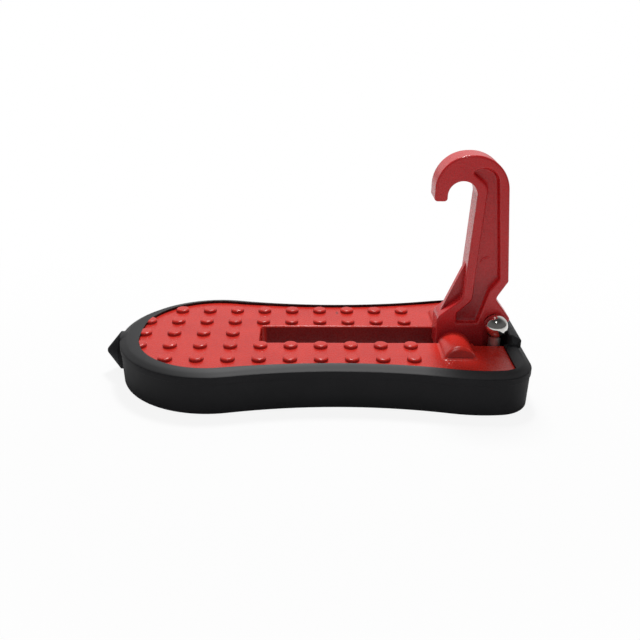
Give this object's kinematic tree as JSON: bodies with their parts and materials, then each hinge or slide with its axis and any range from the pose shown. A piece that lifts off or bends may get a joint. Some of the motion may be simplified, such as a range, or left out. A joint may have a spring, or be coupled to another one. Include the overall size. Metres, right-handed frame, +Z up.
{
  "type": "door latch step",
  "caption": "Folding foot step that hooks on a vehicle's door striker: waisted studded plate in a rubber bumper, hinged hook and a nose hammer tip.",
  "frame": {"origin": "on the floor under the middle of the part's box", "axes": "+X from the hammer tip to the hinge end, +Y across the plate, +Z up; the hook stands up as in use"},
  "size_m": [0.1688, 0.0784, 0.0917],
  "materials": {
    "red_plate": "satin red paint on cast alloy",
    "red_hook": "satin red paint on cast alloy",
    "rubber": "moulded black rubber",
    "pin_steel": "turned steel",
    "polished_steel": "polished steel",
    "black_tip": "matte black coat on steel"
  },
  "bodies": {
    "base": {"step_plate": "red_plate", "rubber_bumper": "rubber", "hinge_pin": "pin_steel", "ball_pin": "polished_steel", "hammer_tip": "black_tip"},
    "hook": {"latch_hook": "red_hook"}
  },
  "joints": [
    {"name": "hook_fold", "type": "hinge", "parent": "base", "child": "hook", "pos_m": [0.0575, 0, 0.0138], "axis": [0, -1, 0], "range_deg": [0, 90]}
  ]
}
